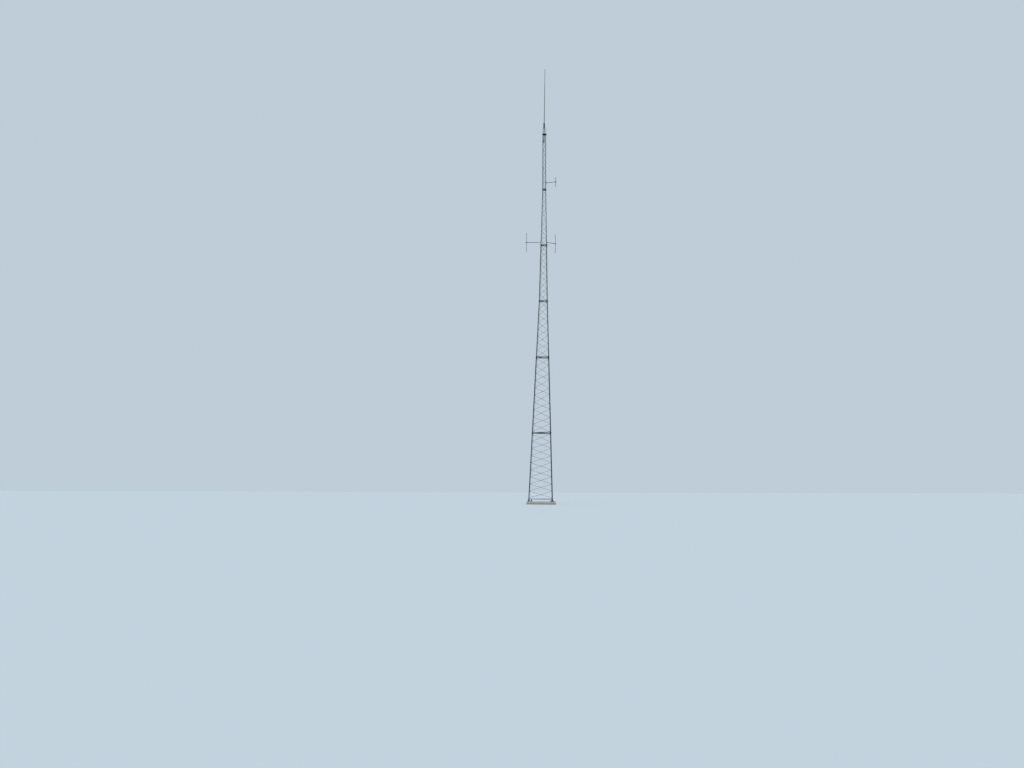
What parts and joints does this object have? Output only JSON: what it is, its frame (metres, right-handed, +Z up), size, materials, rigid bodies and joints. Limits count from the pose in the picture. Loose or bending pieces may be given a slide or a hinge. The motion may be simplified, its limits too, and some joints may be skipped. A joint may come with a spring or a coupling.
{
  "type": "scale model of a lattice radio mast, half size",
  "caption": "Tall slender three-sided lattice radio mast in bolted sections, with a whip aerial at the head and loop aerials on side arms.",
  "frame": {"origin": "middle of the tower on the underside of the plinth, at ground level", "axes": "+Z up, -X towards the single left leg of the picture, -Y towards the picture's camera"},
  "size_m": [1.6068, 1.7752, 23.3397],
  "materials": {
    "galvanised_steel": "zinc gone dark with age",
    "aluminium_tube": "dull, weathered",
    "fibreglass": "weathered",
    "cable_jacket": "matt",
    "cleat_plastic": "matt",
    "concrete": "cast, weathered"
  },
  "bodies": {
    "root": {"plinth": "concrete", "foot_plates": "galvanised_steel", "legs_1": "galvanised_steel", "legs_2": "galvanised_steel", "legs_3": "galvanised_steel", "legs_4": "galvanised_steel", "legs_5": "galvanised_steel", "legs_6": "galvanised_steel", "front_side_1": "galvanised_steel", "front_side_2": "galvanised_steel", "front_side_3": "galvanised_steel", "front_side_4": "galvanised_steel", "front_side_5": "galvanised_steel", "front_side_6": "galvanised_steel", "right_side_1": "galvanised_steel", "right_side_2": "galvanised_steel", "right_side_3": "galvanised_steel", "right_side_4": "galvanised_steel", "right_side_5": "galvanised_steel", "right_side_6": "galvanised_steel", "back_side_1": "galvanised_steel", "back_side_2": "galvanised_steel", "back_side_3": "galvanised_steel", "back_side_4": "galvanised_steel", "back_side_5": "galvanised_steel", "back_side_6": "galvanised_steel", "head_plate": "galvanised_steel", "pole": "galvanised_steel", "pole_clamps": "galvanised_steel", "whip_base": "galvanised_steel", "whip": "fibreglass", "top_arm": "aluminium_tube", "top_loop": "aluminium_tube", "left_arm": "aluminium_tube", "left_loop": "aluminium_tube", "right_arm": "aluminium_tube", "right_loop": "aluminium_tube", "feeders": "cable_jacket", "feeder_cleats": "cleat_plastic", "cable_duct": "galvanised_steel"}
  },
  "joints": []
}
